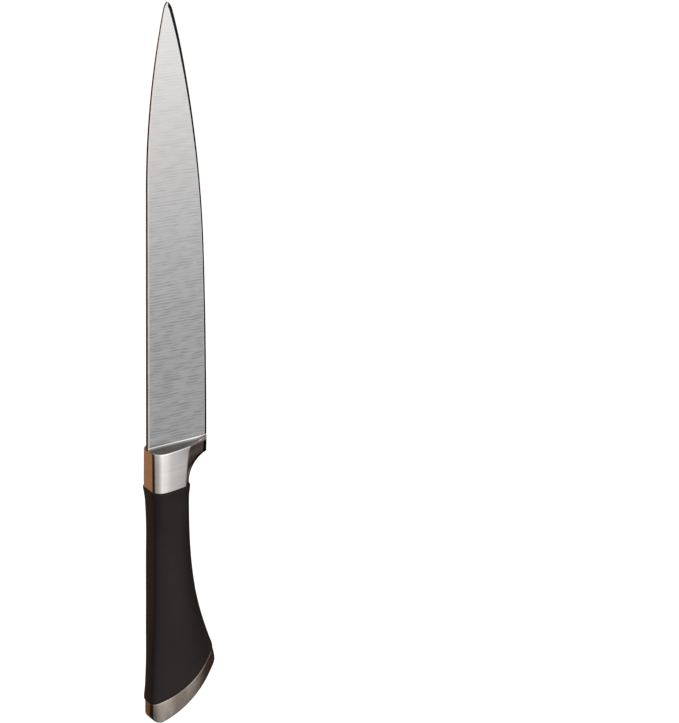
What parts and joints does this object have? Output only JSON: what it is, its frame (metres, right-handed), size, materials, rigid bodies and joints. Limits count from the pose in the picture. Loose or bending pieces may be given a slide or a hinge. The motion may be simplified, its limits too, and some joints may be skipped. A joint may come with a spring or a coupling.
{
  "type": "chef knife",
  "caption": "Kitchen knife: long narrow pointed blade, steel bolster with a finger scoop, soft black grip that flares to a hook, and a curved steel butt cap.",
  "frame": {"origin": "middle of the flat that lies against a magnetic rack: on the blade's +Y flank, 14.3 mm from the spine and 57.6 mm above the bolster", "axes": "+Z along the spine towards the tip, +X from the spine towards the cutting edge, +Y through the thickness, out of the flank that lies on the rack"},
  "size_m": [0.0354, 0.0171, 0.3361],
  "materials": {
    "blade_steel": "ground across the width, satin",
    "polished_steel": "polished",
    "soft_grip": "matte soft touch",
    "core_nylon": "moulded",
    "tang_steel": "as rolled",
    "fastener_steel": "plain"
  },
  "bodies": {
    "root": {"blade": "blade_steel", "bolster": "polished_steel", "butt_cap": "polished_steel", "grip_sleeve": "soft_grip", "core_left": "core_nylon", "core_right": "core_nylon", "tang": "tang_steel", "core_dowels": "tang_steel", "tang_washer": "fastener_steel", "tang_nut": "fastener_steel"}
  },
  "joints": []
}
